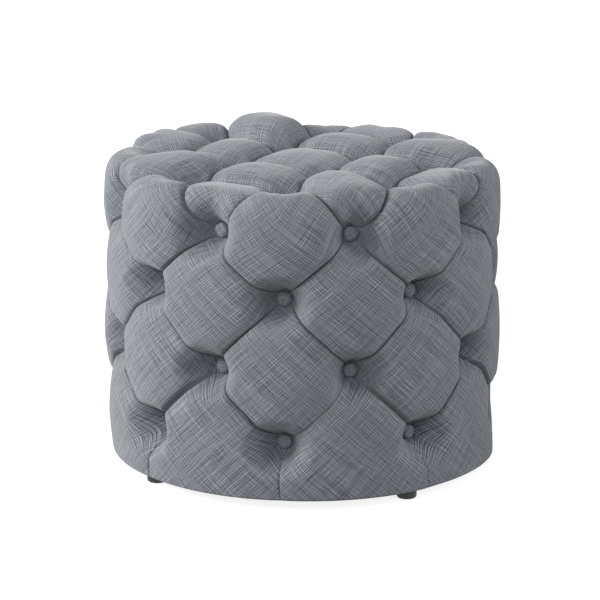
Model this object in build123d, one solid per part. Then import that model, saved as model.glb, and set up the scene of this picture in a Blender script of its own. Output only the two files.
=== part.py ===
from build123d import *
import os
from math import atan2, cos, degrees, hypot, radians, sin, sqrt

# A round ottoman coffee table, deep-button tufted over its side and its top, on four short feet.
# The origin is on the floor under the middle of the drum, +Z is up and the front faces -Y.
# Sizes are in millimetres. A turn is an angle in degrees about +Z, counted from the front.

# Whole object
overall_diameter = 597.0
overall_height = 472.0

# Clearances
fit_gap = 0.1
soft_gap = 0.3
overrun = 6.0

# Tufting pattern: eight columns of buttons, four rows on the side, two rings on the top
column_count = 8
first_turn = -7.4
dimple_depth = 48.5
top_dimple_depth = 37.0
row_height_shares = (0.8496, 0.6494, 0.4195, 0.1949)
outer_ring_share = 0.653
inner_ring_share = 0.335

# Puffs between the buttons
puff_station_shares = (-1.0, -0.4, 0.4, 1.0)
rim_rounding = 45.0
kite_set_back = 24.0
flap_set_back = 32.0
flap_sink = 18.0
quad_crease_sink = 24.0
kite_extra_radius = 6.0
rim_shoulder = 3.0
rim_ease = 3.5
kite_ease = 2.0
side_root_depth = 73.5
fan_root_share = 0.72
core_sink = 3.0
core_rounding = 20.0
hem_set_back = 15.5
hem_flare = 2.0
hem_crown_drop = 20.0
hem_arc_share = 1.5
skirt_height = 22.0
skirt_slope_height = 30.0

# Cover with its wadding, and the foam under it
packed_cover = 3.0
hem_cover = 2.0
hem_turn_under = 38.0
side_foam_thickness = 12.0
top_foam_thickness = 5.0

# Buttons
button_diameter = 22.0
button_height = 7.0
button_wall = 1.0
button_back_thickness = 1.2
shank_diameter = 4.0
shank_length = 5.0
shank_eye_diameter = 1.6
pocket_gap = 1.2

# Tufting twine and its anchors inside the frame
twine_diameter = 2.0
knot_diameter = 4.4
knot_length = 2.5
anchor_diameter = 10.0
anchor_thickness = 1.5

# Wooden frame
base_board_thickness = 18.0
top_board_thickness = 10.0
panel_thickness = 4.0
post_count = 8
post_width = 40.0
post_depth = 30.0

# Screws and nails of the frame
screw_diameter = 4.0
screw_head_diameter = 8.0
screw_head_height = 2.4
screw_bite = 30.0
nail_diameter = 1.6
nail_length = 22.0
nails_per_post = 3
board_nail_count = 16

# Underside
dust_cover_thickness = 0.8
dust_cover_set_in = 8.0
staple_wire = 0.7
staple_width = 10.0
staple_leg = 8.0
hem_staple_count = 36
hem_staple_set_in = 22.0
dust_staple_count = 24
dust_staple_set_in = 14.0

# Feet
foot_count = 4
first_foot_turn = -56.5
foot_diameter = 30.0
foot_height = 18.0
foot_edge_round = 4.0
foot_set_in = 1.0
foot_screw_recess = 8.0
foot_screw_bite = 12.0

# Sizes that follow
crown_radius = overall_diameter / 2
column_step = 360 / column_count
half_step = column_step / 2
row_heights = [share * overall_height for share in row_height_shares]
outer_ring_radius = outer_ring_share * crown_radius
inner_ring_radius = inner_ring_share * crown_radius
button_radius = button_diameter / 2
side_face_radius = crown_radius - dimple_depth
side_seat_radius = side_face_radius - button_height
top_face_height = overall_height - top_dimple_depth
top_seat_height = top_face_height - button_height
side_foam_radius = side_seat_radius - packed_cover - soft_gap
top_foam_top = top_seat_height - packed_cover - soft_gap
panel_outer_radius = side_foam_radius - side_foam_thickness - soft_gap
panel_inner_radius = panel_outer_radius - panel_thickness
top_board_top = top_foam_top - top_foam_thickness - soft_gap
top_board_bottom = top_board_top - top_board_thickness
top_board_radius = panel_inner_radius - fit_gap
dust_cover_top = foot_height + dust_cover_thickness
hem_bottom = dust_cover_top + staple_wire
base_board_bottom = hem_bottom + hem_cover + soft_gap
base_board_top = base_board_bottom + base_board_thickness
hem_radius = crown_radius - hem_set_back
base_board_radius = hem_radius - hem_cover - soft_gap
foot_circle_radius = hem_radius - foot_diameter / 2 - foot_set_in
post_outer_radius = sqrt(panel_inner_radius**2 - (post_width / 2) ** 2) - fit_gap


def outward(turn):
    """The horizontal direction that points away from the axis at a turn."""
    return Vector(sin(radians(turn)), -cos(radians(turn)), 0)


def sideways(turn):
    """The horizontal direction along the drum's wall at a turn."""
    return Vector(cos(radians(turn)), sin(radians(turn)), 0)


def place(turn, radius, height):
    """The point at a turn, a distance from the axis and a height."""
    return outward(turn) * radius + Vector(0, 0, height)


def turns(count, first):
    """Evenly spaced turns round the drum."""
    return [first + index * 360 / count for index in range(count)]


def arc_radius(half_chord, rise):
    """The radius of the arc that rises above the middle of a chord."""
    return (half_chord**2 + rise**2) / (2 * rise)


def arc_drop(radius, offset):
    """How far an arc has fallen at a distance from its highest point."""
    return radius - sqrt(radius**2 - offset**2)


def lean_plane(turn, radius, height, lean):
    """A plane at a point: X runs sideways, and Y points outward, leaning up by an angle."""
    across = sideways(turn)
    ahead = outward(turn) * cos(radians(lean)) + Vector(0, 0, sin(radians(lean)))
    return Plane(origin=place(turn, radius, height), x_dir=across, z_dir=across.cross(ahead))


def puff_section(plane, root, crown, radius):
    """A puff's outline on a plane: a straight root line, closed by an arc over the crown."""
    rise = crown - root
    half_width = sqrt(radius**2 - (radius - rise) ** 2)
    left = plane.from_local_coords((-half_width, root))
    right = plane.from_local_coords((half_width, root))
    top = plane.from_local_coords((0, crown))
    return Wire([Edge.make_line(left, right), Edge.make_three_point_arc(right, top, left)])


def side_wide_radius():
    """The radius of a side puff's level arc, from button to button over the crown."""
    half_chord = side_face_radius * sin(radians(half_step))
    chord_radius = side_face_radius * cos(radians(half_step))
    return arc_radius(half_chord, crown_radius - chord_radius)


def stacked_puff(turn, stations):
    """A puff of the side wall, from level sections at heights, each with its crown and arc."""
    root = crown_radius - side_root_depth
    sections = []
    for height, crown, radius in stations:
        sections.append(puff_section(lean_plane(turn, 0, height, 0), root, crown, radius))
    return Solid.make_loft(sections)


def side_puff(turn, low, high):
    """A puff of the side wall, between the buttons above, below, left and right of it."""
    half_height = (high - low) / 2
    middle = (high + low) / 2
    tall_radius = arc_radius(half_height, dimple_depth)
    stations = []
    for share in puff_station_shares:
        crown = crown_radius - arc_drop(tall_radius, share * half_height)
        stations.append((middle + share * half_height, crown, side_wide_radius()))
    return stacked_puff(turn, stations)


def hem_puff(turn):
    """A puff of the lowest row, from a button down to the hem, which is cut level later."""
    top_row = row_heights[2]
    low_row = row_heights[3]
    middle_row = (top_row + low_row) / 2
    tall_radius = arc_radius(top_row - low_row, dimple_depth)
    middle_crown = crown_radius - arc_drop(tall_radius, middle_row - low_row)
    full_height = low_row - hem_crown_drop
    wide_radius = side_wide_radius()
    stations = [
        (top_row, side_face_radius, wide_radius),
        (middle_row, middle_crown, wide_radius),
        (full_height, crown_radius, wide_radius),
        (hem_bottom - overrun, hem_radius + hem_flare, wide_radius * hem_arc_share),
    ]
    return stacked_puff(turn, stations)


def fan_puff(turn, pivot, ridge, radius):
    """A puff that bends over the rim or lies on the top.

    Its sections fan out from a pivot inside the padding. The ridge and the pivot are pairs of
    a distance from the axis and a height.
    """
    reaches = [hypot(point[0] - pivot[0], point[1] - pivot[1]) for point in ridge]
    root = fan_root_share * min(reaches)
    sections = []
    for point, reach in zip(ridge, reaches):
        lean = degrees(atan2(point[1] - pivot[1], point[0] - pivot[0]))
        plane = lean_plane(turn, pivot[0], pivot[1], lean)
        sections.append(puff_section(plane, root, reach, radius))
    return Solid.make_loft(sections)


def rim_puff(turn):
    """A puff that stands on the side wall and bends over the rim to a button of the top."""
    top_row = row_heights[0]
    low_row = row_heights[1]
    middle_row = (top_row + low_row) / 2
    pivot = (outer_ring_radius - core_rounding, middle_row)
    ridge = [
        (side_face_radius, low_row),
        (crown_radius - rim_ease, top_row),
        (crown_radius - rim_rounding, overall_height - rim_shoulder),
        (outer_ring_radius, top_face_height),
    ]
    return fan_puff(turn, pivot, ridge, side_wide_radius())


def inner_pivot():
    """The pivot of the puffs that start at the top row of the side buttons."""
    return (outer_ring_radius - rim_rounding, (row_heights[0] + row_heights[1]) / 2)


def top_wide_radius():
    """The radius of the arc between two neighbouring buttons of the outer ring."""
    half_chord = outer_ring_radius * sin(radians(half_step))
    return arc_radius(half_chord, top_dimple_depth)


def kite_puff(turn):
    """A puff from a side button over the rim, between two outer ring buttons, to an inner one."""
    ridge = [
        (side_face_radius, row_heights[0]),
        (crown_radius - kite_set_back, overall_height - rim_rounding / 2),
        (outer_ring_radius - core_rounding, overall_height - kite_ease),
        (inner_ring_radius, top_face_height),
    ]
    return fan_puff(turn, inner_pivot(), ridge, top_wide_radius() + kite_extra_radius)


def flap_puff(turn):
    """A low puff from a side button over the rim to the line between two outer ring buttons."""
    crease_radius = outer_ring_radius * cos(radians(half_step))
    ridge = [
        (side_face_radius, row_heights[0]),
        (crown_radius - flap_set_back, overall_height - rim_rounding),
        (outer_ring_radius, overall_height - flap_sink),
        (crease_radius - core_rounding, top_face_height),
    ]
    return fan_puff(turn, inner_pivot(), ridge, top_wide_radius() + kite_extra_radius)


def top_ridge(middle, half_length, sink):
    """The ridge of a puff on the top, which sinks by the same depth at both of its ends."""
    long_radius = arc_radius(half_length, sink)
    ridge = []
    for share in reversed(puff_station_shares):
        height = overall_height - arc_drop(long_radius, share * half_length)
        ridge.append((middle + share * half_length, height))
    return ridge


def quad_puff(turn):
    """A puff of the top, between two buttons of the outer ring and two of the inner ring."""
    outer_crease = outer_ring_radius * cos(radians(half_step))
    inner_crease = inner_ring_radius * cos(radians(column_step))
    middle = (outer_crease + inner_crease) / 2
    half_length = (outer_crease - inner_crease) / 2
    ridge = top_ridge(middle, half_length, quad_crease_sink)
    return fan_puff(turn, (middle, row_heights[0] - half_length), ridge, top_wide_radius())


def centre_puff(turn):
    """The puff in the middle of the top, between the four buttons of the inner ring."""
    radius = arc_radius(inner_ring_radius, top_dimple_depth)
    ridge = top_ridge(0, inner_ring_radius, top_dimple_depth)
    return fan_puff(turn, (0, row_heights[1]), ridge, radius)


def revolved(points):
    """A solid of revolution from an outline of distances from the axis and heights."""
    corners = [Vector(radius, 0, height) for radius, height in points]
    outline = Wire([Edge.make_line(a, b) for a, b in zip(corners, corners[1:] + corners[:1])])
    return Solid.revolve(Face(outline), 360, Axis.Z)


def padding_core():
    """The plain drum under the puffs, with a wider skirt at the hem."""
    radius = side_face_radius - core_sink
    top = top_face_height - core_sink
    skirt_top = hem_bottom + skirt_height
    outline = [
        (0, hem_bottom - 2 * overrun),
        (hem_radius, hem_bottom - 2 * overrun),
        (hem_radius, skirt_top),
        (radius, skirt_top + skirt_slope_height),
        (radius, top),
        (0, top),
    ]
    drum = revolved(outline)
    rim = drum.edges().filter_by(GeomType.CIRCLE).sort_by(Axis.Z)[-1]
    return drum.fillet(core_rounding, [rim])


def side_columns(row):
    """The turns of one side row's buttons: odd rows lie half a step from even ones."""
    first = first_turn - half_step if row % 2 == 0 else first_turn
    return turns(column_count, first)


def side_seat(turn, height):
    """The plane on which a side button sits, facing outward."""
    return Plane(origin=place(turn, side_seat_radius, height), x_dir=sideways(turn), z_dir=outward(turn))


def top_seat(turn, radius):
    """The plane on which a button of the top sits, facing up."""
    return Plane(origin=place(turn, radius, top_seat_height), x_dir=sideways(turn), z_dir=(0, 0, 1))


inner_turns = turns(column_count // 2, first_turn + half_step)
quad_turns = turns(column_count // 2, first_turn - half_step)
button_seats = {}
for row, height in enumerate(row_heights):
    button_seats[f"row_{row + 1}"] = [side_seat(turn, height) for turn in side_columns(row)]
button_seats["top_outer"] = [top_seat(turn, outer_ring_radius) for turn in turns(column_count, first_turn)]
button_seats["top_inner"] = [top_seat(turn, inner_ring_radius) for turn in inner_turns]
all_seats = [seat for seats in button_seats.values() for seat in seats]


def on_seat(seat, radius, bottom, top):
    """A cylinder along a seat's axis, from one height above the seat to another."""
    disc = Plane(origin=seat.from_local_coords((0, 0, bottom)), x_dir=seat.x_dir, z_dir=seat.z_dir)
    return Solid.make_cylinder(radius, top - bottom, disc)


def tufted_form():
    """The whole padded shape, with the creases where its puffs meet."""
    puffs = [centre_puff(inner_turns[0])]
    for turn in turns(column_count, first_turn):
        puffs.append(rim_puff(turn))
        puffs.append(side_puff(turn + half_step, row_heights[2], row_heights[0]))
        puffs.append(side_puff(turn, row_heights[3], row_heights[1]))
        puffs.append(hem_puff(turn + half_step))
    for turn in inner_turns:
        puffs.append(kite_puff(turn))
    for turn in quad_turns:
        puffs.append(flap_puff(turn))
        puffs.append(quad_puff(turn))
    return padding_core().fuse(*puffs)


def button_pockets():
    """The pockets that the buttons are pulled into."""
    radius = button_radius + pocket_gap
    return [on_seat(seat, radius, 0, dimple_depth) for seat in all_seats]


def shank_holes():
    """The holes that the button shanks and their twine pass through."""
    radius = shank_diameter / 2 + soft_gap
    depth = packed_cover + side_foam_thickness + 3 * soft_gap
    return [on_seat(seat, radius, -depth, overrun) for seat in all_seats]


def disc(radius, bottom, top):
    """A level round board or sheet, centred on the axis."""
    return Solid.make_cylinder(radius, top - bottom, Plane(origin=(0, 0, bottom)))


def upright(turn, circle_radius, radius, bottom, top):
    """A vertical round pin or hole at a turn and a distance from the axis."""
    base = Plane(origin=place(turn, circle_radius, bottom))
    return Solid.make_cylinder(radius, top - bottom, base)


def tufted_cover():
    """The tufted cover with its wadding, turned under the base board at the hem."""
    side_hollow = disc(side_foam_radius + soft_gap, base_board_bottom, top_foam_top + soft_gap)
    board_hollow = disc(base_board_radius + soft_gap, hem_bottom + hem_cover, base_board_top + soft_gap)
    mouth = disc(hem_radius - hem_turn_under, 0, base_board_top)
    below = disc(overall_diameter, -overrun, hem_bottom)
    hollows = [side_hollow, board_hollow, mouth, below]
    openings = button_pockets() + shank_holes() + staple_slots() + foot_screw_holes()
    return tufted_form().cut(*hollows).cut(*openings)


def side_foam():
    """The foam wrapped round the frame, from the base board up to the top of the top board."""
    wrap = disc(side_foam_radius, base_board_top + soft_gap, top_board_top)
    bore = disc(panel_outer_radius + soft_gap, 0, overall_height)
    return wrap.cut(bore, *shank_holes())


def top_foam():
    """The foam pad on the top board, which also covers the top edge of the side foam."""
    return disc(side_foam_radius, top_board_top + soft_gap, top_foam_top).cut(*shank_holes())


def pin(radius, bottom, top):
    """An upright round pin on the axis, in the frame of the seat that it is moved to."""
    return Solid.make_cylinder(radius, top - bottom, Plane(origin=(0, 0, bottom)))


def cap_sphere_radius():
    """The radius of a button's dome."""
    return arc_radius(button_radius, button_height - soft_gap)


def button_cap():
    """The domed shell of a covered button, open towards its seat."""
    sphere = cap_sphere_radius()
    centre = Plane(origin=(0, 0, button_height - sphere))
    outer = Solid.make_sphere(sphere, centre, -90, 90, 360)
    inner = Solid.make_sphere(sphere - button_wall, centre, -90, 90, 360)
    return outer.cut(inner, pin(button_diameter, -2 * sphere, soft_gap))


def button_back():
    """The metal back of a covered button, with a shank and an eye for the twine."""
    sphere = cap_sphere_radius()
    plate_top = soft_gap + button_back_thickness
    rise = sphere - button_height + plate_top
    plate = pin(sqrt((sphere - button_wall) ** 2 - rise**2) - fit_gap, soft_gap, plate_top)
    shank_end = soft_gap - shank_length
    shank = pin(shank_diameter / 2, shank_end, soft_gap + fit_gap)
    eye_start = Plane(origin=(-shank_diameter, 0, shank_end + shank_eye_diameter), z_dir=(1, 0, 0))
    eye = Solid.make_cylinder(shank_eye_diameter / 2, 2 * shank_diameter, eye_start)
    return plate.fuse(shank).cut(eye)


def anchor_depth(name):
    """How far below its seat a twine's anchor bears on the frame."""
    if name.startswith("top"):
        return top_seat_height - top_board_bottom
    return side_seat_radius - panel_inner_radius


def twine(depth):
    """One length of tufting twine, from a button's shank to its knot behind the anchor."""
    knot_start = -depth - 2 * fit_gap - anchor_thickness
    strand = pin(twine_diameter / 2, knot_start - knot_length, soft_gap - shank_length)
    return strand.fuse(pin(knot_diameter / 2, knot_start - knot_length, knot_start))


def anchor(depth):
    """The washer inside the frame that a twine is pulled tight against."""
    top = -depth - fit_gap
    hole = pin(twine_diameter / 2 + fit_gap, top - 2 * anchor_thickness, top + anchor_thickness)
    return pin(anchor_diameter / 2, top - anchor_thickness, top).cut(hole)


def on_seats(piece, seats):
    """Copies of one piece, moved to each of the seats."""
    return [piece.moved(seat.location) for seat in seats]


def twine_holes(names):
    """The holes for the twine of some rows, through the panel or the top board."""
    radius = twine_diameter / 2 + fit_gap
    holes = []
    for name in names:
        for seat in button_seats[name]:
            holes.append(on_seat(seat, radius, -anchor_depth(name) - overrun, 0))
    return holes


post_turns = turns(post_count, first_turn + half_step / 2)
post_middle_radius = post_outer_radius - post_depth / 2
board_nail_turns = turns(board_nail_count, first_turn + half_step / 4)


def screw(turn, bottom, top, head_down, gap):
    """A countersunk screw on a post's middle line, or its hole where the gap isn't zero."""
    radius = screw_diameter / 2 + gap
    head_radius = screw_head_diameter / 2 + gap
    if head_down:
        points = [
            (0, bottom),
            (head_radius, bottom),
            (radius, bottom + screw_head_height),
            (radius, top + gap),
            (0, top + gap),
        ]
    else:
        points = [
            (0, bottom - gap),
            (radius, bottom - gap),
            (radius, top - screw_head_height),
            (head_radius, top),
            (0, top),
        ]
    return revolved(points).moved(Location(place(turn, post_middle_radius, 0)))


def frame_screws(gap):
    """The screws that hold the posts to both boards, or their holes."""
    screws = []
    for turn in post_turns:
        screws.append(screw(turn, base_board_bottom, base_board_top + screw_bite, True, gap))
        screws.append(screw(turn, top_board_bottom - screw_bite, top_board_top, False, gap))
    return screws


def nail(turn, height, gap):
    """A headless nail driven in from the outside of the panel, or its hole."""
    start = place(turn, panel_outer_radius, height)
    plane = Plane(origin=start, x_dir=sideways(turn), z_dir=-outward(turn))
    return Solid.make_cylinder(nail_diameter / 2 + gap, nail_length + gap, plane)


def panel_nails(gap):
    """The nails through the panel into the posts and into the edge of the top board."""
    nails = []
    step = (top_board_bottom - base_board_top) / (nails_per_post + 1)
    for turn in post_turns:
        for index in range(nails_per_post):
            nails.append(nail(turn, base_board_top + (index + 1) * step, gap))
    for turn in board_nail_turns:
        nails.append(nail(turn, (top_board_top + top_board_bottom) / 2, gap))
    return nails


def base_board():
    """The round plywood board that carries the frame, the foam and the feet."""
    board = disc(base_board_radius, base_board_bottom, base_board_top)
    return board.cut(*frame_screws(fit_gap), *foot_screw_holes(), *staple_slots())


def top_board():
    """The round board under the top foam, inside the upper edge of the panel."""
    board = disc(top_board_radius, top_board_bottom, top_board_top)
    holes = twine_holes(["top_outer", "top_inner"])
    return board.cut(*frame_screws(fit_gap), *panel_nails(fit_gap), *holes)


def side_panel():
    """The thin bent board round the posts, with a hole for each side button's twine."""
    tube = disc(panel_outer_radius, base_board_top, top_board_top)
    bore = disc(panel_inner_radius, base_board_top - overrun, top_board_top + overrun)
    holes = twine_holes(["row_1", "row_2", "row_3", "row_4"])
    return tube.cut(bore, *panel_nails(fit_gap), *holes)


def post(turn):
    """An upright batten between the two boards."""
    height = top_board_bottom - base_board_top
    batten = Solid.make_box(post_width, post_depth, height)
    corner = sideways(turn) * (-post_width / 2) + place(turn, post_outer_radius, base_board_top)
    seated = Plane(origin=corner, x_dir=sideways(turn), z_dir=(0, 0, 1)).location
    return batten.moved(seated).cut(*frame_screws(fit_gap), *panel_nails(fit_gap))


def staple(turn, circle_radius, crown_bottom, gap):
    """A wire staple driven upward, its crown along the hem, or the slots for its legs."""
    wire = staple_wire + 2 * gap
    half = staple_width / 2
    seat = Plane(origin=place(turn, circle_radius, crown_bottom), x_dir=sideways(turn), z_dir=(0, 0, 1))
    left_start = (-half - gap, -wire / 2)
    left_plane = Plane(origin=seat.from_local_coords(left_start), x_dir=seat.x_dir, z_dir=seat.z_dir)
    right_start = (half - staple_wire - gap, -wire / 2)
    right_plane = Plane(origin=seat.from_local_coords(right_start), x_dir=seat.x_dir, z_dir=seat.z_dir)
    length = staple_wire + staple_leg + gap
    left = Solid.make_box(wire, wire, length, left_plane)
    right = Solid.make_box(wire, wire, length, right_plane)
    if gap:
        return [left, right]
    crown = Solid.make_box(staple_width, staple_wire, staple_wire, left_plane)
    return [crown.fuse(left, right)]


def hem_staples(gap):
    """The staples that hold the turned hem of the cover to the base board."""
    circle = hem_radius - hem_staple_set_in
    found = []
    for turn in turns(hem_staple_count, first_turn):
        found += staple(turn, circle, dust_cover_top, gap)
    return found


def dust_staples(gap):
    """The staples that hold the dust cover, whose legs pass through the turned hem too."""
    circle = hem_radius - dust_staple_set_in
    half_pitch = 180 / dust_staple_count
    found = []
    for turn in turns(dust_staple_count, first_foot_turn + half_pitch):
        found += staple(turn, circle, foot_height - staple_wire, gap)
    return found


def staple_slots():
    """The slots that all staples cut in what they pass through."""
    return hem_staples(fit_gap) + dust_staples(fit_gap)


def dust_cover():
    """The thin cloth that closes the underside."""
    sheet = disc(hem_radius - dust_cover_set_in, foot_height, dust_cover_top)
    return sheet.cut(*dust_staples(fit_gap), *foot_screw_holes())


foot_turns = turns(foot_count, first_foot_turn)
foot_screw_top = base_board_bottom + foot_screw_bite


def foot_screw_holes():
    """The holes above the feet, for their screws."""
    radius = screw_diameter / 2 + fit_gap
    return [
        upright(turn, foot_circle_radius, radius, 0, foot_screw_top + fit_gap) for turn in foot_turns
    ]


def foot(turn):
    """A short round plastic foot, rounded at the floor, with a recess for its screw."""
    body = upright(0, 0, foot_diameter / 2, 0, foot_height)
    floor_edge = body.edges().filter_by(GeomType.CIRCLE).sort_by(Axis.Z)[0]
    rounded = body.fillet(foot_edge_round, [floor_edge])
    recess = upright(0, 0, screw_head_diameter / 2 + fit_gap, -overrun, foot_screw_recess)
    hole = upright(0, 0, screw_diameter / 2 + fit_gap, 0, foot_height + overrun)
    return rounded.cut(recess, hole).moved(Location(place(turn, foot_circle_radius, 0)))


def foot_screw(turn):
    """A pan head screw up through a foot into the base board."""
    head_bottom = foot_screw_recess - screw_head_height
    head = upright(turn, foot_circle_radius, screw_head_diameter / 2, head_bottom, foot_screw_recess)
    shank = upright(turn, foot_circle_radius, screw_diameter / 2, head_bottom, foot_screw_top)
    return head.fuse(shank)


def write(name, solids):
    """Write one named piece, or one group of like pieces, to its file."""
    shape = solids[0] if len(solids) == 1 else Compound(children=solids)
    shape.label = name
    export_step(shape, os.path.join("parts", name + ".step"))


def as_solids(shape):
    """The separate solids that a cut or fuse left."""
    return list(shape.solids())


def one_solid(shape):
    """The only solid of a shape."""
    return shape.solids()[0]


os.makedirs("parts", exist_ok=True)

write("tufted_cover", as_solids(tufted_cover()))
write("side_foam", as_solids(side_foam()))
write("top_foam", as_solids(top_foam()))

write("base_board", as_solids(base_board()))
write("top_board", as_solids(top_board()))
write("side_panel", as_solids(side_panel()))
for index, turn in enumerate(post_turns):
    write(f"post_{index + 1}", as_solids(post(turn)))
write("frame_screws", frame_screws(0))
write("panel_nails", panel_nails(0))

for name, seats in button_seats.items():
    depth = anchor_depth(name)
    write(f"buttons_{name}", on_seats(one_solid(button_cap()), seats))
    write(f"button_backs_{name}", on_seats(one_solid(button_back()), seats))
    write(f"twine_{name}", on_seats(one_solid(twine(depth)), seats))
    write(f"twine_anchors_{name}", on_seats(one_solid(anchor(depth)), seats))

write("hem_staples", hem_staples(0))
write("dust_cover", as_solids(dust_cover()))
write("dust_cover_staples", dust_staples(0))
for index, turn in enumerate(foot_turns):
    write(f"foot_{index + 1}", as_solids(foot(turn)))
write("foot_screws", [one_solid(foot_screw(turn)) for turn in foot_turns])
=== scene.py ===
"""A round ottoman coffee table, tufted all over in heathered grey linen, on short black feet."""
import math

import bpy
import numpy as np
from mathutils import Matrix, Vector


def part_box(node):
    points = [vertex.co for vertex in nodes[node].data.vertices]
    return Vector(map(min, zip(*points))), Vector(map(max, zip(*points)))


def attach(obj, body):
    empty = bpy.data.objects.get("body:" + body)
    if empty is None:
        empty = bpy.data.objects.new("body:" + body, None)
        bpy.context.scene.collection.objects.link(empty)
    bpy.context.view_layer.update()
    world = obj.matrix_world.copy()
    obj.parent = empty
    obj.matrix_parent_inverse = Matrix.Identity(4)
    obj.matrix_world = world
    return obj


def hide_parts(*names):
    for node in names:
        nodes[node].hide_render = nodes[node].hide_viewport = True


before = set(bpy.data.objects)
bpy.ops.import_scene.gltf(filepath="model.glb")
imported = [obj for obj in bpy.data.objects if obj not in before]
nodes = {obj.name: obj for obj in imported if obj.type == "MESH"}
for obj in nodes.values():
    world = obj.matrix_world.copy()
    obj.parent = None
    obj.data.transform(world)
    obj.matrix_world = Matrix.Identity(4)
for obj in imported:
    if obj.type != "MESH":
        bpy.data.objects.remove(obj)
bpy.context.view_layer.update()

# Lengths are in metres and turns in degrees, from -Y towards +X

# The buttons, as the frame holds them
row_nodes = ("buttons_row_1", "buttons_row_2", "buttons_row_3", "buttons_row_4")
outer_node = "buttons_top_outer"
inner_node = "buttons_top_inner"
round_count = 8
inner_count = 4

# The outline through the crowns of the puffs
crown_radius = 0.2985
crown_height = 0.4725
rim_reach = 0.052
rim_drop = 0.048
rim_squareness = 2.6
crown_shift = -0.0045
shift_height = 0.06

# The hem
hem_height = 0.0165
hem_tuck = 0.0015
hem_tuck_height = 0.07
hem_tuck_power = 2.2
hem_rounding = 0.004
hem_turned_radius = 0.2455

# The hollow round each button
pit_floor = 0.0085
pit_flat = 0.0132
side_pit_reach = 0.049
top_pit_reach = 0.045
pit_power = 2.0
crease_pit_power = 1.1

# Heights of the creases, as shares of the crowns' height over the buttons
side_crease_share = 0.73
rim_crease_share = 0.63
ring_crease_share = 0.38
spoke_crease_share = 0.42
inner_crease_share = 0.4
fold_top_share = 0.8
fold_hem_shares = (0.94, 0.94, 0.72, 0.94, 0.94, 0.94, 0.94, 0.94)

# Fullness of the puffs
side_squareness = 2.15
top_squareness = 1.75
corner_squareness = 1.6
flap_shares = {1: 0.92, 3: 0.96, 5: 1.32, 7: 0.86}
quad_share = 1.12
kite_shares = {0: 1.18, 2: 1.16, 4: 1.5, 6: 1.22}
rim_shares = (1.04, 1.03, 1, 1.02, 0.84, 1.2, 1.07, 1.04)
lower_shares = (1, 1, 1, 1, 1, 1, 1.13, 1)
hem_puff_shares = (1, 0.9, 0.78, 0.95, 1, 1, 1, 1)
uneven_share = 0.025

# Slits, lips and pleats
slit_depth = 0.0088
slit_width = 0.0012
slit_pit_power = 0.4
fold_slit_share = 0.22
lip_lean = 0.0055
lip_width = 0.007
least_lean_share = 0.6
fold_lean_share = 0.2
pleat_depth = 0.0008
pleat_start = 0.013
pleat_end = 0.05
pleat_counts = (5, 9, 14)
pleat_power = 1.5

# The mesh
puff_steps = 41
side_samples = 120
rim_samples = 160
seed = 7
weave_spread = 3

full_turn = 2 * math.pi


# The frame's measures


def node_points(name):
    """The points of a node of the frame, one row each."""
    mesh = nodes[name].data
    points = np.empty(len(mesh.vertices) * 3)
    mesh.vertices.foreach_get("co", points)
    return points.reshape(-1, 3)


def first_turn(points, count):
    """The turn of the first of count like things that stand evenly round the axis."""
    turns = np.arctan2(points[:, 0], -points[:, 1]) * count
    return math.degrees(math.atan2(np.sin(turns).mean(), np.cos(turns).mean())) / count


row_points = [node_points(name) for name in row_nodes]
outer_points = node_points(outer_node)
inner_points = node_points(inner_node)
row_turns = [first_turn(points, round_count) for points in row_points]
row_heights = [(points[:, 2].min() + points[:, 2].max()) / 2 for points in row_points]
outer_turn = first_turn(outer_points, round_count)
inner_turn = first_turn(inner_points, inner_count)
round_step = 360 / round_count
inner_step = 360 / inner_count


def ring_radius(points):
    """The radius of the circle on which a ring of upright buttons stands."""
    spread = np.hypot(points[:, 0], points[:, 1])
    return (spread.min() + spread.max()) / 2


button_radius = (row_points[0][:, 2].max() - row_points[0][:, 2].min()) / 2
face_radius = np.hypot(row_points[1][:, 0], row_points[1][:, 1]).max()
face_height = outer_points[:, 2].max()
button_height = face_height - outer_points[:, 2].min()
outer_radius = ring_radius(outer_points)
inner_radius = ring_radius(inner_points)


# The outline through the faces of the buttons, and the one through the crowns

corner = face_height - row_heights[0]
side_length = row_heights[0] - hem_height
arc_length = corner * math.pi / 2
flat_length = face_radius - corner
reach = side_length + arc_length + flat_length


def base_outline(m):
    """Radius and height of the outline through the buttons' faces, m along it from the hem."""
    turn = np.clip((m - side_length) / corner, 0, math.pi / 2)
    radius = flat_length + corner * np.cos(turn) - np.maximum(m - side_length - arc_length, 0)
    height = hem_height + np.minimum(m, side_length) + corner * np.sin(turn)
    return radius, height


def crown_line():
    """Points of the outline through the crowns, as lengths along it, radii and heights."""
    rise = np.linspace(0, crown_height - rim_drop - hem_height, side_samples)
    near = np.clip(1 - rise / hem_tuck_height, 0, 1)
    side_radius = crown_radius - hem_tuck * near**hem_tuck_power
    turn = np.linspace(0, math.pi / 2, rim_samples)
    rim_radius = crown_radius - rim_reach + rim_reach * np.cos(turn) ** (2 / rim_squareness)
    rim_height = crown_height - rim_drop + rim_drop * np.sin(turn) ** (2 / rim_squareness)
    radius = np.concatenate([side_radius, rim_radius[1:], [0]])
    height = np.concatenate([hem_height + rise, rim_height[1:], [crown_height]])
    along = np.concatenate([[0], np.cumsum(np.hypot(np.diff(radius), np.diff(height)))])
    return along, radius, height


crown_along, crown_radii, crown_heights = crown_line()
rim_start = side_length
rim_end = reach - outer_radius


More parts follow.
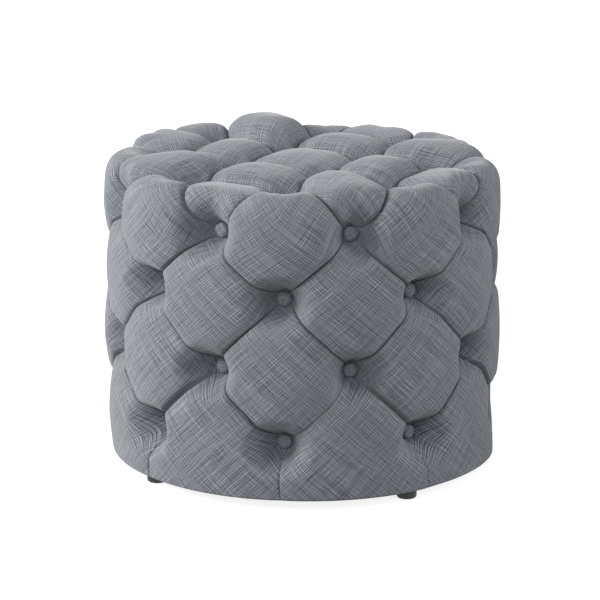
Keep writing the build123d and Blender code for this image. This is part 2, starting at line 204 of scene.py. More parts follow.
def crown_outline(m):
    """Radius and height on the outline through the crowns, over the point m of the base.

    Round the rim, where the two differ in length, a cubic leads from one to the other.
    """
    start = np.interp(row_heights[0], crown_heights, crown_along)
    end = crown_along[-1] - outer_radius
    span = rim_end - rim_start
    share = np.clip((m - rim_start) / span, 0, 1)
    ease = share * share * (3 - 2 * share)
    ends = span * (share**3 - 2 * share**2 + share) + span * (share**3 - share**2)
    along = start + (end - start) * ease + ends
    along = np.where(m < rim_start, start + m - rim_start, along)
    along = np.where(m > rim_end, end + m - rim_end, along)
    return np.interp(along, crown_along, crown_radii), np.interp(along, crown_along, crown_heights)


# Places on the skin: a point has a turn, a length m along the outline, and a share of the way out

middle_radius = (face_radius + crown_radius) / 2


def place_at(turn, m):
    """A place at a turn in degrees and a length m from the hem."""
    return np.array([math.radians(turn), m])


places = {}
for row, height in enumerate(row_heights):
    for k in range(round_count):
        places[("row", row, k)] = place_at(row_turns[row] + round_step * k, height - hem_height)
for k in range(round_count):
    places[("outer", 0, k)] = place_at(outer_turn + round_step * k, reach - outer_radius)
    places[("hem", 0, k)] = place_at(outer_turn + round_step * k, 0)
for k in range(inner_count):
    places[("inner", 0, k)] = place_at(inner_turn + inner_step * k, reach - inner_radius)


def to_side(place):
    """A place as metres across and up the side."""
    return np.stack([place[..., 0] * middle_radius, place[..., 1]], -1)


def from_side(point):
    """The place of a point on the side."""
    return np.stack([point[..., 0] / middle_radius, point[..., 1]], -1)


def to_top(place):
    """A place as metres on the flattened top."""
    rho = reach - place[..., 1]
    return np.stack([rho * np.sin(place[..., 0]), -rho * np.cos(place[..., 0])], -1)


def from_top(point):
    """The place of a point on the flattened top."""
    rho = np.hypot(point[..., 0], point[..., 1])
    return np.stack([np.arctan2(point[..., 0], -point[..., 1]), reach - rho], -1)


def near_turn(places_in, reference):
    """The same places with their turns brought within half a turn of the reference."""
    brought = places_in.copy()
    brought[..., 0] += full_turn * np.round((reference - places_in[..., 0]) / full_turn)
    return brought


def spaced(count):
    """Shares from 0 to 1 that stand close together at both ends."""
    return (1 - np.cos(np.pi * np.arange(count + 1) / count)) / 2


# The points of the skin: their places, then edge heights, fullness, crown heights and slits
skin_places = []
skin_values = ([], [], [], [])


def add_points(place, edge, fullness, crown, slit=0.0):
    """Puts points on the skin and returns their numbers. Their height goes from edge to crown."""
    shape = place.shape[:-1]
    start = sum(len(part) for part in skin_places)
    skin_places.append(place.reshape(-1, 2))
    for values, value in zip(skin_values, (edge, fullness, crown, slit)):
        values.append(np.broadcast_to(value, shape).reshape(-1))
    return np.arange(start, start + len(skin_places[-1])).reshape(shape)


corner_numbers = {}
for name, place in places.items():
    corner_numbers[name] = add_points(place[None, :], fold_hem_shares[name[2]], 0, 1)[0]

shares = spaced(puff_steps)
crease_shares = {
    frozenset({"row"}): side_crease_share,
    frozenset({"row", "outer"}): rim_crease_share,
    frozenset({"outer"}): ring_crease_share,
    frozenset({"outer", "inner"}): spoke_crease_share,
    frozenset({"inner"}): inner_crease_share,
}
creases = {}


def is_fold(a, b):
    """Whether the crease from a to b is a fold that ends at the hem."""
    return "hem" in (a[0], b[0])


def crease_height(a, b):
    """Heights of the points of a crease from a to b. A fold starts at the hem."""
    if is_fold(a, b):
        foot_share = fold_hem_shares[a[2]]
        return foot_share + (fold_top_share - foot_share) * shares
    return np.full(puff_steps + 1, crease_shares[frozenset((a[0], b[0]))])


def make_crease(a, b):
    """Keeps the places, point numbers and heights of the crease from a to b."""
    on_top = a[0] in ("outer", "inner") and b[0] in ("outer", "inner")
    start = places[a]
    end = near_turn(places[b], start[0])
    flat, back = (to_top, from_top) if on_top else (to_side, from_side)
    first = flat(start)
    last = flat(end)
    line = first + (last - first) * shares[:, None]
    place = near_turn(back(line), start[0])
    place[0] = start
    place[-1] = end
    height = crease_height(a, b)
    numbers = np.empty(puff_steps + 1, dtype=int)
    numbers[0] = corner_numbers[a]
    numbers[-1] = corner_numbers[b]
    slit_share = fold_slit_share if is_fold(a, b) else 1
    numbers[1:-1] = add_points(place[1:-1], height[1:-1], 0, 1, slit_share)
    creases[(a, b)] = (place, numbers, height)


def crease(a, b):
    """Places, point numbers and heights along the crease from a to b, which is made once."""
    if (b, a) in creases:
        return tuple(values[::-1] for values in creases[(b, a)])
    if (a, b) not in creases:
        make_crease(a, b)
    return creases[(a, b)]


def joined(first, second):
    """Two creases end to end as one edge."""
    place, numbers, height = second
    second = (near_turn(place, first[0][-1, 0]), numbers, height)
    return tuple(np.concatenate([before, after[1:]]) for before, after in zip(first, second))


def collapsed(a):
    """An edge that is one point."""
    count = puff_steps + 1
    place = np.repeat(places[a][None, :], count, 0)
    return place, np.full(count, corner_numbers[a]), np.full(count, rim_crease_share)


def blended(bottom, top, left, right, u, v):
    """The surface between four edges."""
    across = u[:, None, None]
    up = v[None, :, None]
    ruled_up = (1 - up) * bottom[:, None] + up * top[:, None]
    ruled_across = (1 - across) * left[None] + across * right[None]
    corners = (1 - across) * (1 - up) * left[0] + across * (1 - up) * right[0]
    corners = corners + (1 - across) * up * left[-1] + across * up * right[-1]
    return ruled_up + ruled_across - corners


patches = []
round_length = full_turn * middle_radius
tiny = 1e-6


def slit_at(distance):
    """How much of a slit's depth is left at a distance from its bottom."""
    return np.exp(-((distance / slit_width) ** 2))


def make_patch(name, bottom, top, left, right, u, v, fullness, crown, on_top):
    """Fills four edges with a puff. fullness(u, v) is 0 at its creases and 1 on its crown."""
    flat, back = (to_top, from_top) if on_top else (to_side, from_side)
    reference = bottom[0][0, 0]
    edges = [flat(near_turn(edge[0], reference)) for edge in (bottom, top, left, right)]
    if not on_top:
        for edge in edges:
            away_from_first = edge[:, 0].mean() - edges[0][:, 0].mean()
            edge[:, 0] -= round_length * np.round(away_from_first / round_length)
    place = near_turn(back(blended(*edges, u, v)), reference)
    across = u[:, None]
    up = v[None, :]
    weights = [1 / (far**2 + tiny) for far in (up, 1 - up, across, 1 - across)]
    heights = [bottom[2][:, None], top[2][:, None], left[2][None], right[2][None]]
    total = sum(weights)
    edge_height = sum(weight * height for weight, height in zip(weights, heights)) / total
    full = fullness(across, up)
    sizes = [np.linalg.norm(np.diff(edge, axis=0), axis=1).sum() for edge in edges]
    wide = (sizes[0] + sizes[1]) / 2
    tall = (sizes[2] + sizes[3]) / 2
    sides = slit_at(np.minimum(across, 1 - across) * wide)
    ends = slit_at((1 - up) * tall)
    if name.startswith("hem"):
        sides = sides * fold_slit_share
    else:
        ends = np.maximum(ends, slit_at(up * tall))
    slit = np.maximum(sides + 0 * up, ends + 0 * across)
    inside = (slice(1, -1), slice(1, -1))
    numbers = np.empty((len(u), len(v)), dtype=int)
    numbers[inside] = add_points(place[inside], edge_height[inside], full[inside], crown, slit[inside])
    numbers[:, 0] = bottom[1]
    numbers[:, -1] = top[1]
    numbers[0, :] = left[1]
    numbers[-1, :] = right[1]
    patches.append((name, numbers))


def arch(share, squareness):
    """The section of a full puff: 0 at both ends and 1 half way, steep where it starts."""
    return (1 - np.abs(1 - 2 * share) ** squareness) ** (1 / squareness)


def both(first, second):
    """Full where both sections are full, and rounded between them at the corners."""
    lack = (1 - first) ** corner_squareness + (1 - second) ** corner_squareness
    return 1 - np.minimum(lack, 1) ** (1 / corner_squareness)


def side_fullness(u, v):
    """A puff of the side, with creases all round."""
    return both(arch(u, side_squareness), arch(v, side_squareness))


def top_fullness(u, v):
    """A puff of the top, which is softer than one of the side."""
    return both(arch(u, top_squareness), arch(v, top_squareness))


def hem_fullness(u, v):
    """A puff over the hem, which has no crease below."""
    return both(arch(u, side_squareness), arch((1 + v) / 2, side_squareness))


def flap_fullness(u, v):
    """A puff over a button of row 1, which widens from a point there."""
    return both(arch(u, top_squareness), arch((1 + v) / 2, top_squareness))


def row_at(row, k):
    """The name of button k of a row of the side."""
    return ("row", row, k % round_count)


def outer_at(k):
    """The name of button k of the outer ring of the top."""
    return ("outer", 0, k % round_count)


def inner_at(k):
    """The name of button k of the inner ring of the top."""
    return ("inner", 0, k % inner_count)


def hem_at(k):
    """The name of the foot of fold k, on the hem."""
    return ("hem", 0, k % round_count)


random = np.random.default_rng(seed)


def varied(share):
    """A crown's height with a little of the unevenness of hand work."""
    return share * (1 + uneven_share * random.uniform(-1, 1))


def diamond(name, low, right, high, left, crown=1.0, on_top=False):
    """A puff between four buttons."""
    make_patch(
        name, crease(low, right), crease(left, high), crease(low, left), crease(right, high),
        shares, shares, top_fullness if on_top else side_fullness, varied(crown), on_top)


# Row 1 and row 3 stand half a step after row 2, row 4 and the outer ring
for k in range(round_count):
    diamond(f"rim_{k}", row_at(1, k), row_at(0, k), outer_at(k), row_at(0, k - 1), rim_shares[k])
    diamond(f"upper_{k}", row_at(2, k), row_at(1, k + 1), row_at(0, k), row_at(1, k))
    diamond(f"lower_{k}", row_at(3, k), row_at(2, k), row_at(1, k), row_at(2, k - 1), lower_shares[k])

# The puffs over the hem have two creases above them, so twice the steps across
hem_shares = np.concatenate([shares / 2, 0.5 + shares[1:] / 2])
hem_rings = []
for k in range(round_count):
    above = joined(crease(row_at(3, k), row_at(2, k)), crease(row_at(2, k), row_at(3, k + 1)))
    left = crease(hem_at(k), row_at(3, k))
    right = crease(hem_at(k + 1), row_at(3, k + 1))
    start = places[hem_at(k)]
    end = near_turn(places[hem_at(k + 1)], start[0] + full_turn / round_count)
    line = start + (end - start) * hem_shares[:, None]
    next_fold = fold_hem_shares[(k + 1) % round_count]
    share = fold_hem_shares[k] + (next_fold - fold_hem_shares[k]) * hem_shares
    numbers = np.empty(len(hem_shares), dtype=int)
    numbers[0] = corner_numbers[hem_at(k)]
    numbers[-1] = corner_numbers[hem_at(k + 1)]
    edge_fullness = hem_fullness(hem_shares[1:-1], 0)
    numbers[1:-1] = add_points(line[1:-1], share[1:-1], edge_fullness, hem_puff_shares[k])
    hem_rings.append(numbers[:-1])
    below = (line, numbers, share)
    make_patch(
        f"hem_{k}", below, above, left, right, hem_shares, shares, hem_fullness,
        varied(hem_puff_shares[k]), False)

# Round the top, a flap with a quad behind it stands in turn with a kite as long as both
for k in range(1, round_count, 2):
    make_patch(
        f"flap_{k}", collapsed(row_at(0, k)), crease(outer_at(k), outer_at(k + 1)),
        crease(row_at(0, k), outer_at(k)), crease(row_at(0, k), outer_at(k + 1)),
        shares, shares, flap_fullness, varied(flap_shares[k]), True)
    first = (k - 1) // 2
    diamond(
        f"quad_{k}", outer_at(k), outer_at(k + 1), inner_at(first + 1), inner_at(first),
        quad_share, True)
for k in range(0, round_count, 2):
    diamond(f"kite_{k}", row_at(0, k), outer_at(k + 1), inner_at(k // 2), outer_at(k), kite_shares[k], True)
diamond("centre", inner_at(0), inner_at(1), inner_at(2), inner_at(3), 1.0, True)


# From places to points in space

place = np.concatenate(skin_places)
edge_share, fullness, crown_share, slit = (np.concatenate(values) for values in skin_values)
turns = place[:, 0]
lengths = place[:, 1]
outward = np.stack([np.sin(turns), -np.cos(turns)], -1)


def on_outline(outline):
    """The skin's points, laid on an outline that goes round the axis."""
    radius, height = outline(lengths)
    return np.concatenate([outward * radius[:, None], height[:, None]], 1)


base = on_outline(base_outline)
crown = on_outline(crown_outline)
crown[:, 0] += crown_shift * np.clip((crown[:, 2] - hem_height) / shift_height, 0, 1)
away = crown - base
depth = np.linalg.norm(away, axis=1)


def pits_and_pleats():
    """How far each point is out of the buttons' pits, from 0 to 1, and how high its pleats stand."""
    pit = np.ones(len(place))
    pleats = np.zeros(len(place))
    for name in places:
        if name[0] == "hem":
            continue
        number = corner_numbers[name]
        offset = base - base[number]
        distance = np.linalg.norm(offset, axis=1)
        pit_reach = side_pit_reach if name[0] == "row" else top_pit_reach
        rise = np.clip((distance - pit_flat) / (pit_reach - pit_flat), 0, 1)
        pit *= 1 - (1 - rise) ** pit_power
        sideways = np.array([-outward[number, 1], outward[number, 0], 0])
        upward = np.cross(away[number] / depth[number], sideways)
        angle = np.arctan2(offset @ upward, offset @ sideways)
        ring = np.clip((distance - pleat_start) / (pleat_end - pleat_start), 0, 1)
        ring = (4 * ring * (1 - ring)) ** pleat_power
        phases = random.uniform(0, full_turn, len(pleat_counts))
        wave = sum(np.cos(count * angle + phase) for count, phase in zip(pleat_counts, phases))
        pleats += ring * wave * pleat_depth / len(pleat_counts)
    return pit, pleats


pit, pleats = pits_and_pleats()
floor_share = -pit_floor / depth
edge_rise = (edge_share - floor_share) * pit**crease_pit_power
crown_rise = (crown_share - floor_share) * pit
share = floor_share + edge_rise * (1 - fullness) + crown_rise * fullness + pleats / depth
share -= slit_depth / depth * slit * pit**slit_pit_power
points = base + away * share[:, None]


def lip_leans():
    """How the lips of each crease lean over its bottom, one way or the other."""
    leans = {}
    for order, ((a, b), (_, numbers, _)) in enumerate(creases.items()):
        tangent = np.gradient(points[numbers], axis=0)
        tangent /= np.linalg.norm(tangent, axis=1)[:, None]
        across = np.cross(tangent, away[numbers] / depth[numbers][:, None])
        across /= np.linalg.norm(across, axis=1)[:, None]
        lean_share = least_lean_share + (1 - least_lean_share) * random.uniform()
        amount = lip_lean * lean_share * (1 if order % 2 else -1)
        swell = 4 * shares * (1 - shares) * (fold_lean_share if is_fold(a, b) else 1)
        leans[(a, b)] = across * amount * swell[:, None]
    return leans


leans = lip_leans()


def lean_of(edge_numbers):
    """The lean along an edge of a patch, if the edge is a crease."""
    for key, (_, numbers, _) in creases.items():
        if np.array_equal(numbers, edge_numbers):
            return leans[key]
        if np.array_equal(numbers[::-1], edge_numbers):
            return leans[key][::-1]
    return None


def lip_moves():
    """How each point moves with the lips near it, walking into each patch from its four edges."""
    moves = np.zeros_like(points)
    for _, numbers in patches:
        for walk in (numbers.T, numbers.T[::-1], numbers, numbers[::-1]):
            lean = lean_of(walk[0])
            if lean is None:
                continue
            steps = np.linalg.norm(np.diff(points[walk], axis=0), axis=2)
            distance = np.insert(np.cumsum(steps, axis=0), 0, 0, axis=0)
            near = distance / lip_width * np.exp(1 - distance / lip_width)
            np.add.at(moves, walk[1:-1], (near[:, :, None] * lean[None])[1:-1])
    return moves


points += lip_moves()

# The hem is rounded under
over = np.clip(1 - (points[:, 2] - hem_height) / hem_rounding, 0, 1)
inset = hem_rounding * (1 - np.sqrt(1 - over**2))
radius = np.hypot(points[:, 0], points[:, 1])
points[:, :2] *= (1 - inset / np.maximum(radius, hem_rounding))[:, None]


# Faces, and the weave over them


def along(grid, axis):
    """Lengths along the lines of a grid of points, from the middle of each."""
    steps = np.linalg.norm(np.diff(grid, axis=axis), axis=2)
    walked = np.insert(np.cumsum(steps, axis=axis), 0, 0, axis=axis)
    return walked - np.take(walked, [grid.shape[axis] // 2], axis=axis)


def puff_weave(name, numbers):
    """The weave's coordinates over a puff, along its surface or, over the hem, along the hem."""
    along_u = along(points[numbers], 0)
    along_v = along(points[numbers], 1)
    shift = random.uniform(0, weave_spread, 2)
    if name.startswith("hem"):
        along_u = turns[numbers] * middle_radius
        middle = along_u[numbers.shape[0] // 2, numbers.shape[1] // 2]
        along_u = along_u - round_length * np.round((along_u - middle) / round_length)
        along_v = lengths[numbers]
    # The edges of these run level, so their weave is turned to slant like that of the diamonds
    if name.startswith(("hem", "flap")):
        along_u, along_v = (along_u + along_v) / math.sqrt(2), (along_v - along_u) / math.sqrt(2)
    return np.stack([along_u + shift[0], along_v + shift[1]], -1)


faces = []
weave = []
for name, numbers in patches:
    coordinate = puff_weave(name, numbers)
    corners = [numbers[:-1, :-1], numbers[1:, :-1], numbers[1:, 1:], numbers[:-1, 1:]]
    corners = np.stack(corners, -1).reshape(-1, 4)
    maps = [coordinate[:-1, :-1], coordinate[1:, :-1], coordinate[1:, 1:], coordinate[:-1, 1:]]
    maps = np.stack(maps, -2).reshape(-1, 4, 2)
    for face, spots in zip(corners.tolist(), maps.tolist()):
        kept = [i for i in range(4) if face[i] != face[i - 1]]
        faces.append([face[i] for i in kept])
        weave.extend(spots[i] for i in kept)


# The turned hem under the base, and the lining against the foam

hem_flat_radius = 0.268
lining_gap = 0.0006
lining_step = 0.02
lining_stitch = 0.001
lining_reach = 0.2

hem_ring = np.concatenate(hem_rings)
ring_turn = np.arctan2(points[hem_ring, 0], -points[hem_ring, 1])
board_low, board_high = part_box("base_board")
foam_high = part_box("side_foam")[1]
board_radius = board_high[0] + lining_gap
board_under = board_low[2] - lining_gap
board_over = board_high[2] + lining_gap
foam_radius = foam_high[0] + lining_gap
foam_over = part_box("top_foam")[1][2] + lining_gap
lining = [
    (hem_flat_radius, hem_height), (hem_turned_radius, hem_height), (hem_turned_radius, board_under),
    (board_radius, board_under), (board_radius, board_over), (foam_radius, board_over),
    (foam_radius, foam_over)]
rings = [hem_ring]
point_count = len(points)
extra = []
for ring_r, ring_z in lining:
    circle = np.stack([ring_r * np.sin(ring_turn), -ring_r * np.cos(ring_turn)], -1)
    extra.append(np.concatenate([circle, np.full((len(ring_turn), 1), ring_z)], 1))
    rings.append(np.arange(point_count, point_count + len(ring_turn)))
    point_count += len(ring_turn)
extra.append(np.array([[0, 0, foam_over]]))
points = np.concatenate([points] + extra)
ring_u = ring_turn * middle_radius
for step, (outer_ring, inner_ring) in enumerate(zip(rings[:-1], rings[1:])):
    low = step * lining_step
    high = low + lining_step
    for i, u in enumerate(ring_u):
        j = (i + 1) % len(ring_turn)
        faces.append([int(outer_ring[j]), int(outer_ring[i]), int(inner_ring[i]), int(inner_ring[j])])
        weave += [(u + lining_stitch, low), (u, low), (u, high), (u + lining_stitch, high)]
last_ring = rings[-1]
for i, u in enumerate(ring_u):
    j = (i + 1) % len(ring_turn)
    faces.append([int(last_ring[j]), int(last_ring[i]), point_count])
    weave += [(u + lining_stitch, 0), (u, 0), (u, lining_reach)]


def new_object(name, points, faces, weave):
    """A smooth mesh object, with its weave coordinates in a map of their own."""
    mesh = bpy.data.meshes.new(name)
    mesh.from_pydata([tuple(point) for point in points], [], faces)
    layer = mesh.uv_layers.new(name="Weave")
    layer.data.foreach_set("uv", np.array(weave, dtype=np.float32).reshape(-1))
    mesh.polygons.foreach_set("use_smooth", np.ones(len(mesh.polygons), dtype=bool))
    mesh.validate()
    piece = bpy.data.objects.new(name, mesh)
    bpy.context.collection.objects.link(piece)
    return piece


cover = new_object("tufted_fabric", points, faces, weave)


# Buttons: a domed cap of cloth, drawn in round its edge

cap_sides = 48
cap_rings = 10
cap_squareness = 2.4
gather_depth = 0.00022
gather_count = 18
gather_power = 4


def cap_shape():
    """Points, faces and weave of one cap, with its face along +Z and its seat at zero."""
    cap = [(0.0, 0.0, button_height)]
    for ring in range(1, cap_rings + 1):
        fall = math.pi / 2 * ring / cap_rings
        radius = button_radius * math.sin(fall) ** (2 / cap_squareness)
        height = button_height * math.cos(fall) ** (2 / cap_squareness)
        gathered = gather_depth * (ring / cap_rings) ** gather_power
        for side in range(cap_sides):
            angle = full_turn * side / cap_sides
            drawn = gathered * (1 - math.cos(gather_count * angle)) / 2
            spot = radius - drawn
            cap.append((spot * math.cos(angle), spot * math.sin(angle), height))
    cap.append((0.0, 0.0, 0.0))
    cap_faces = []
    for side in range(cap_sides):
        after = (side + 1) % cap_sides
        cap_faces.append([0, 1 + side, 1 + after])
        for ring in range(cap_rings - 1):
            near = 1 + ring * cap_sides
            far = near + cap_sides
            cap_faces.append([near + side, far + side, far + after, near + after])
        edge = 1 + (cap_rings - 1) * cap_sides
        cap_faces.append([edge + after, edge + side, len(cap) - 1])
    return np.array(cap), cap_faces


cap_points, cap_faces = cap_shape()


def button_piece(name, node, seats):
    """The caps of a row of buttons as one piece, each on its seat."""
    all_points = []
    all_faces = []
    all_weave = []
    for centre, axis in seats:
        upright = abs(axis[2]) > 0
        side = np.array([1.0, 0.0, 0.0]) if upright else np.cross([0.0, 0.0, 1.0], axis)
        side /= np.linalg.norm(side)
        up = np.cross(axis, side)
        spin = random.uniform(0, math.pi)
        turned_side = side * math.cos(spin) + up * math.sin(spin)
        turned_up = up * math.cos(spin) - side * math.sin(spin)
        start = len(all_points) * len(cap_points)
        placed = cap_points[:, :1] * turned_side + cap_points[:, 1:2] * turned_up
        all_points.append(centre + placed + cap_points[:, 2:] * axis)
        shift = random.uniform(0, weave_spread, 2)
        for face in cap_faces:
            all_faces.append([start + i for i in face])
            all_weave += [tuple(cap_points[i, :2] + shift) for i in face]
    piece = new_object(name, np.concatenate(all_points), all_faces, all_weave)
    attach(piece, "root")
    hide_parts(node)
    return piece


def side_seats(row):
    """Where the buttons of a row of the side sit, and where they face."""
    seats = []
    for k in range(round_count):
        turn = math.radians(row_turns[row] + round_step * k)
        axis = np.array([math.sin(turn), -math.cos(turn), 0.0])
        centre = axis * (face_radius - button_height) + np.array([0, 0, row_heights[row]])
        seats.append((centre, axis))
    return seats


def ring_seats(first, radius, count):
    """Where the buttons of a ring of the top sit, and where they face."""
    seat_height = face_height - button_height
    seats = []
    for k in range(count):
        turn = math.radians(first + 360 / count * k)
        centre = np.array([radius * math.sin(turn), -radius * math.cos(turn), seat_height])
        seats.append((centre, np.array([0.0, 0.0, 1.0])))
    return seats


button_pieces = []
for row, node in enumerate(row_nodes):
    button_pieces.append(button_piece(f"covered_{node}", node, side_seats(row)))
button_pieces.append(
    button_piece(f"covered_{outer_node}", outer_node, ring_seats(outer_turn, outer_radius, round_count)))
button_pieces.append(
    button_piece(f"covered_{inner_node}", inner_node, ring_seats(inner_turn, inner_radius, inner_count)))


# Materials


class Nodes:
    """A material's node tree, with short calls for what it is made of."""

    def __init__(self, name):
        self.material = bpy.data.materials.new(name)
        self.material.use_nodes = True
        self.tree = self.material.node_tree
        self.shader = self.tree.nodes["Principled BSDF"]

    def link(self, output, target):
        """Joins an output to an input."""
        self.tree.links.new(output, target)

    def noise(self, vector, scale, detail, roughness=0.5):
        """A noise from 0 to 1."""
        node = self.tree.nodes.new("ShaderNodeTexNoise")
        node.inputs["Scale"].default_value = scale
        node.inputs["Detail"].default_value = detail
        node.inputs["Roughness"].default_value = roughness
        self.link(vector, node.inputs["Vector"])
        return node.outputs["Fac"]

    def mapping(self, vector, scale, shift=(0, 0, 0)):
        """Coordinates scaled, then shifted."""
        node = self.tree.nodes.new("ShaderNodeMapping")
        node.inputs["Scale"].default_value = scale
        node.inputs["Location"].default_value = shift
        self.link(vector, node.inputs["Vector"])
        return node.outputs["Vector"]

    def math(self, operation, first, second=0, third=0):
        """An operation on outputs and numbers."""
        node = self.tree.nodes.new("ShaderNodeMath")
        node.operation = operation
        for slot, value in zip(node.inputs, (first, second, third)):
            if isinstance(value, (int, float)):
                slot.default_value = value
            else:
                self.link(value, slot)
        return node.outputs[0]

    def ramp(self, value, stops):
        """A colour that follows a value, between stops of a place and a colour each."""
        node = self.tree.nodes.new("ShaderNodeValToRGB")
        stops = list(stops)
        while len(node.color_ramp.elements) < len(stops):
            node.color_ramp.elements.new(0.5)
        for element, (position, colour) in zip(node.color_ramp.elements, stops):
            element.position = position
            element.color = (*colour, 1)
        self.link(value, node.inputs["Fac"])
        return node.outputs["Color"]

    def bump(self, height, distance, strength=1):
        """Gives the surface a relief."""
        node = self.tree.nodes.new("ShaderNodeBump")
        node.inputs["Distance"].default_value = distance
        node.inputs["Strength"].default_value = strength
        self.link(height, node.inputs["Height"])
        self.link(node.outputs["Normal"], self.shader.inputs["Normal"])


# The weave: threads, slubs along them, and clouds of light and dark
thread_width = 0.0011
button_thread_width = 0.0008
thread_length = 0.026
thread_step = 0.8
thread_share = 0.42
slub_width = 0.002
slub_length = 0.12
slub_share = 0.2
cloud_scale = 30
cloud_detail = 2
cloud_share = 0.05
weave_height = 0.0005
weave_strength = 0.6

cloth_roughness = 0.85
cloth_specular = 0.2
cloth_sheen = 0.25
cloth_sheen_roughness = 0.5

# Dark, middle and light threads, and where each comes in the mixture
grey_stops = (0.3, 0.5, 0.7)
cover_greys = ((0.04, 0.043, 0.049), (0.122, 0.132, 0.147), (0.32, 0.337, 0.365))
# The buttons wear the cover's linen with its greys painted lighter: painted light standing in for the light
# their faces catch
button_greys_painted_lighter = ((0.06, 0.064, 0.071), (0.155, 0.166, 0.184), (0.34, 0.357, 0.385))


def stretched(along_u, length, width):
    """The scale of a noise that is drawn out to a length along one way of the weave."""
    return (1 / length, 1 / width, 1) if along_u else (1 / width, 1 / length, 1)


def threads(cloth, coordinate, along_u, width):
    """Light and dark threads that run one way, from below zero to above it."""
    scale = stretched(along_u, thread_length, width)
    step = (0, thread_step, 0) if along_u else (thread_step, 0, 0)
    here = cloth.noise(cloth.mapping(coordinate, scale), 1, 0)
    beside = cloth.noise(cloth.mapping(coordinate, scale, step), 1, 0)
    return cloth.math("SUBTRACT", here, beside)


def slubs(cloth, coordinate, along_u):
    """Long thick threads that run one way, from below zero to above it."""
    scale = stretched(along_u, slub_length, slub_width)
    return cloth.math("SUBTRACT", cloth.noise(cloth.mapping(coordinate, scale), 1, 0), 0.5)


def linen(name, greys, width):
    """Heathered linen: light and dark threads crossing, with slubs along both."""
    cloth = Nodes(name)
    uv = cloth.tree.nodes.new("ShaderNodeUVMap")
    uv.uv_map = "Weave"
    coordinate = uv.outputs["UV"]
    fine = cloth.math(
        "ADD", threads(cloth, coordinate, True, width), threads(cloth, coordinate, False, width))
    long = cloth.math("ADD", slubs(cloth, coordinate, True), slubs(cloth, coordinate, False))
    cloud = cloth.math("SUBTRACT", cloth.noise(coordinate, cloud_scale, cloud_detail), 0.5)
    clouded = cloth.math("MULTIPLY_ADD", cloud, cloud_share, 0.5)
    slubbed = cloth.math("MULTIPLY_ADD", long, slub_share, clouded)
    mixed = cloth.math("MULTIPLY_ADD", fine, thread_share, slubbed)
    colour = cloth.ramp(mixed, zip(grey_stops, greys))
    cloth.link(colour, cloth.shader.inputs["Base Color"])
    cloth.bump(mixed, weave_height, weave_strength)
    cloth.shader.inputs["Roughness"].default_value = cloth_roughness
    cloth.shader.inputs["Specular IOR Level"].default_value = cloth_specular
    cloth.shader.inputs["Sheen Weight"].default_value = cloth_sheen
    cloth.shader.inputs["Sheen Roughness"].default_value = cloth_sheen_roughness
    return cloth.material


cover.data.materials.append(linen("heathered_linen", cover_greys, thread_width))
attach(cover, "root")
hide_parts("tufted_cover")

# The caps' cloth is the cover's linen painted lighter, as painted light on the buttons' faces
button_cloth_painted_lighter = linen("button_linen_painted_lighter", button_greys_painted_lighter, button_thread_width)
for piece in button_pieces:
    piece.data.materials.append(button_cloth_painted_lighter)


# The plain materials of the pieces inside and of the feet

grain_stops = (0.3, 0.7)
grain_detail = 4
grain_roughness = 0.6
grain_height = 0.0003
roughness_spread = 0.2


def speckled(name, first, second, scale, roughness, stretch=(1, 1, 1), metallic=0):
    """A plain material with grain in its colour, its roughness and its surface."""
    stuff = Nodes(name)
    place_node = stuff.tree.nodes.new("ShaderNodeTexCoord")
    coordinate = stuff.mapping(place_node.outputs["Object"], stretch)
    value = stuff.noise(coordinate, scale, grain_detail, grain_roughness)
    colour = stuff.ramp(value, zip(grain_stops, (first, second)))
    stuff.link(colour, stuff.shader.inputs["Base Color"])
    least = roughness - roughness_spread / 2
    varied_roughness = stuff.math("MULTIPLY_ADD", value, roughness_spread, least)
    stuff.link(varied_roughness, stuff.shader.inputs["Roughness"])
    stuff.shader.inputs["Metallic"].default_value = metallic
    stuff.bump(value, grain_height)
    return stuff.material


slot_finishes = {
    "foam": dict(first=(0.72, 0.66, 0.42), second=(0.85, 0.8, 0.58), scale=900, roughness=0.9),
    "plywood": dict(
        first=(0.42, 0.27, 0.13), second=(0.62, 0.44, 0.25), scale=30, roughness=0.6, stretch=(1, 8, 8)),
    "hardboard": dict(first=(0.16, 0.08, 0.035), second=(0.26, 0.14, 0.07), scale=500, roughness=0.5),
    "pine": dict(
        first=(0.55, 0.36, 0.17), second=(0.75, 0.55, 0.32), scale=40, roughness=0.55, stretch=(6, 6, 0.4)),
    "zinc_steel": dict(
        first=(0.5, 0.5, 0.5), second=(0.66, 0.66, 0.65), scale=300, roughness=0.35, metallic=1),
    "twine": dict(first=(0.6, 0.52, 0.38), second=(0.8, 0.74, 0.6), scale=1500, roughness=0.8),
    "dust_cloth": dict(
        first=(0.006, 0.006, 0.007), second=(0.02, 0.02, 0.022), scale=1200, roughness=0.85),
    "black_plastic": dict(
        first=(0.008, 0.008, 0.009), second=(0.016, 0.016, 0.017), scale=400, roughness=0.45),
}
slot_materials = {name: speckled(name, **finish) for name, finish in slot_finishes.items()}
for obj in nodes.values():
    for i, used in enumerate(obj.data.materials):
        if used and used.name in slot_materials:
            obj.material_slots[i].material = slot_materials[used.name]


# The stage: a floor that glows towards white away from the object, but sheds no diffuse light

floor_size = 30
floor_colour = (0.32, 0.32, 0.32, 1)
floor_roughness = 0.9
floor_glow = 0.86
glow_start = 0.5
glow_end = 1.6
world_strength = 0.16
white = (1, 1, 1, 1)

bpy.ops.mesh.primitive_plane_add(size=floor_size, location=(0, 0, 0))
floor = bpy.context.active_object
floor.name = "studio_floor"


def camera_share(tree):
    """1 for a ray from the camera, a reflected ray or a ray through glass, else 0."""
    path = tree.nodes.new("ShaderNodeLightPath")
    share = path.outputs["Is Camera Ray"]
    for ray in ("Is Glossy Ray", "Is Transmission Ray"):
        larger = tree.nodes.new("ShaderNodeMath")
        larger.operation = "MAXIMUM"
        tree.links.new(share, larger.inputs[0])
        tree.links.new(path.outputs[ray], larger.inputs[1])
        share = larger.outputs[0]
    return share


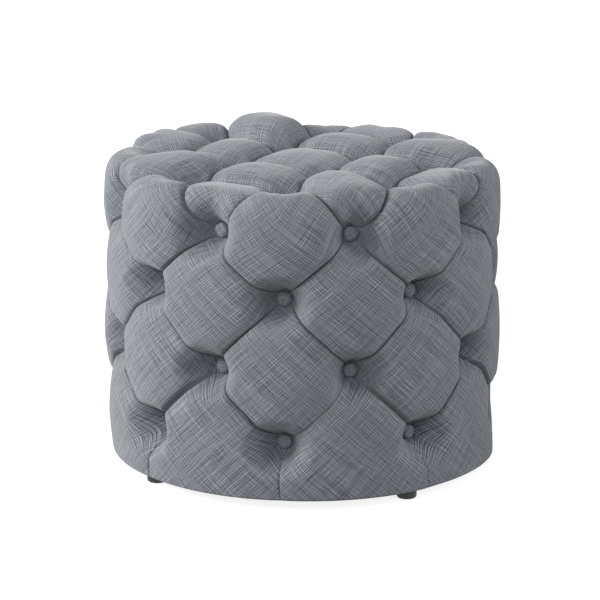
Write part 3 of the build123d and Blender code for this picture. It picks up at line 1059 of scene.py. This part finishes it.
floor_nodes = Nodes("studio_floor")
floor_nodes.shader.inputs["Base Color"].default_value = floor_colour
floor_nodes.shader.inputs["Roughness"].default_value = floor_roughness
floor_nodes.shader.inputs["Specular IOR Level"].default_value = 0
floor_nodes.shader.inputs["Emission Color"].default_value = white
floor_place = floor_nodes.tree.nodes.new("ShaderNodeTexCoord")
floor_length = floor_nodes.tree.nodes.new("ShaderNodeVectorMath")
floor_length.operation = "LENGTH"
floor_nodes.link(floor_place.outputs["Object"], floor_length.inputs[0])
farther = floor_nodes.tree.nodes.new("ShaderNodeMapRange")
farther.interpolation_type = "SMOOTHSTEP"
farther.inputs["From Min"].default_value = glow_start
farther.inputs["From Max"].default_value = glow_end
farther.inputs["To Min"].default_value = floor_glow
floor_nodes.link(floor_length.outputs["Value"], farther.inputs["Value"])
glow = floor_nodes.math("MULTIPLY", camera_share(floor_nodes.tree), farther.outputs["Result"])
floor_nodes.link(glow, floor_nodes.shader.inputs["Emission Strength"])
floor.data.materials.append(floor_nodes.material)

world = bpy.data.worlds.new("studio")
bpy.context.scene.world = world
world.use_nodes = True
background = world.node_tree.nodes["Background"]
background.inputs["Color"].default_value = white
mix = world.node_tree.nodes.new("ShaderNodeMath")
mix.operation = "MULTIPLY_ADD"
world.node_tree.links.new(camera_share(world.node_tree), mix.inputs[0])
mix.inputs[1].default_value = 1 - world_strength
mix.inputs[2].default_value = world_strength
world.node_tree.links.new(mix.outputs[0], background.inputs["Strength"])


def softbox(name, place, aim_height, size, power):
    """A square lamp that looks at a point on the axis."""
    data = bpy.data.lights.new(name, "AREA")
    data.size = size
    data.energy = power
    lamp = bpy.data.objects.new(name, data)
    bpy.context.collection.objects.link(lamp)
    lamp.location = place
    direction = Vector((0, 0, aim_height)) - Vector(place)
    lamp.rotation_euler = direction.to_track_quat("-Z", "Y").to_euler()


softbox("side", place=(-3.3, -1, 2), aim_height=0.3, size=1.4, power=163)
softbox("front", place=(-0.9, -3.7, 2.3), aim_height=0.25, size=2.2, power=77)
softbox("fill", place=(3.2, -0.9, 1.7), aim_height=0.3, size=1.6, power=70)
softbox("back", place=(-3.2, 1.4, 1.8), aim_height=0.3, size=1.4, power=60)
softbox("top", place=(0.2, 0.8, 3.2), aim_height=0.4, size=2, power=4)


# The camera, where the photograph was taken from

camera_place = (0, -4.4252, 1.4059)
camera_tilt = 14.75
camera_lens = 180.4
camera_shift = -0.0105
sensor_width = 36

camera_data = bpy.data.cameras.new("camera")
camera_data.lens = camera_lens
camera_data.sensor_width = sensor_width
camera_data.shift_x = camera_shift
camera = bpy.data.objects.new("camera", camera_data)
camera.location = camera_place
camera.rotation_euler = (math.radians(90 - camera_tilt), 0, 0)
bpy.context.collection.objects.link(camera)
bpy.context.scene.camera = camera
bpy.context.scene.view_settings.view_transform = "Standard"
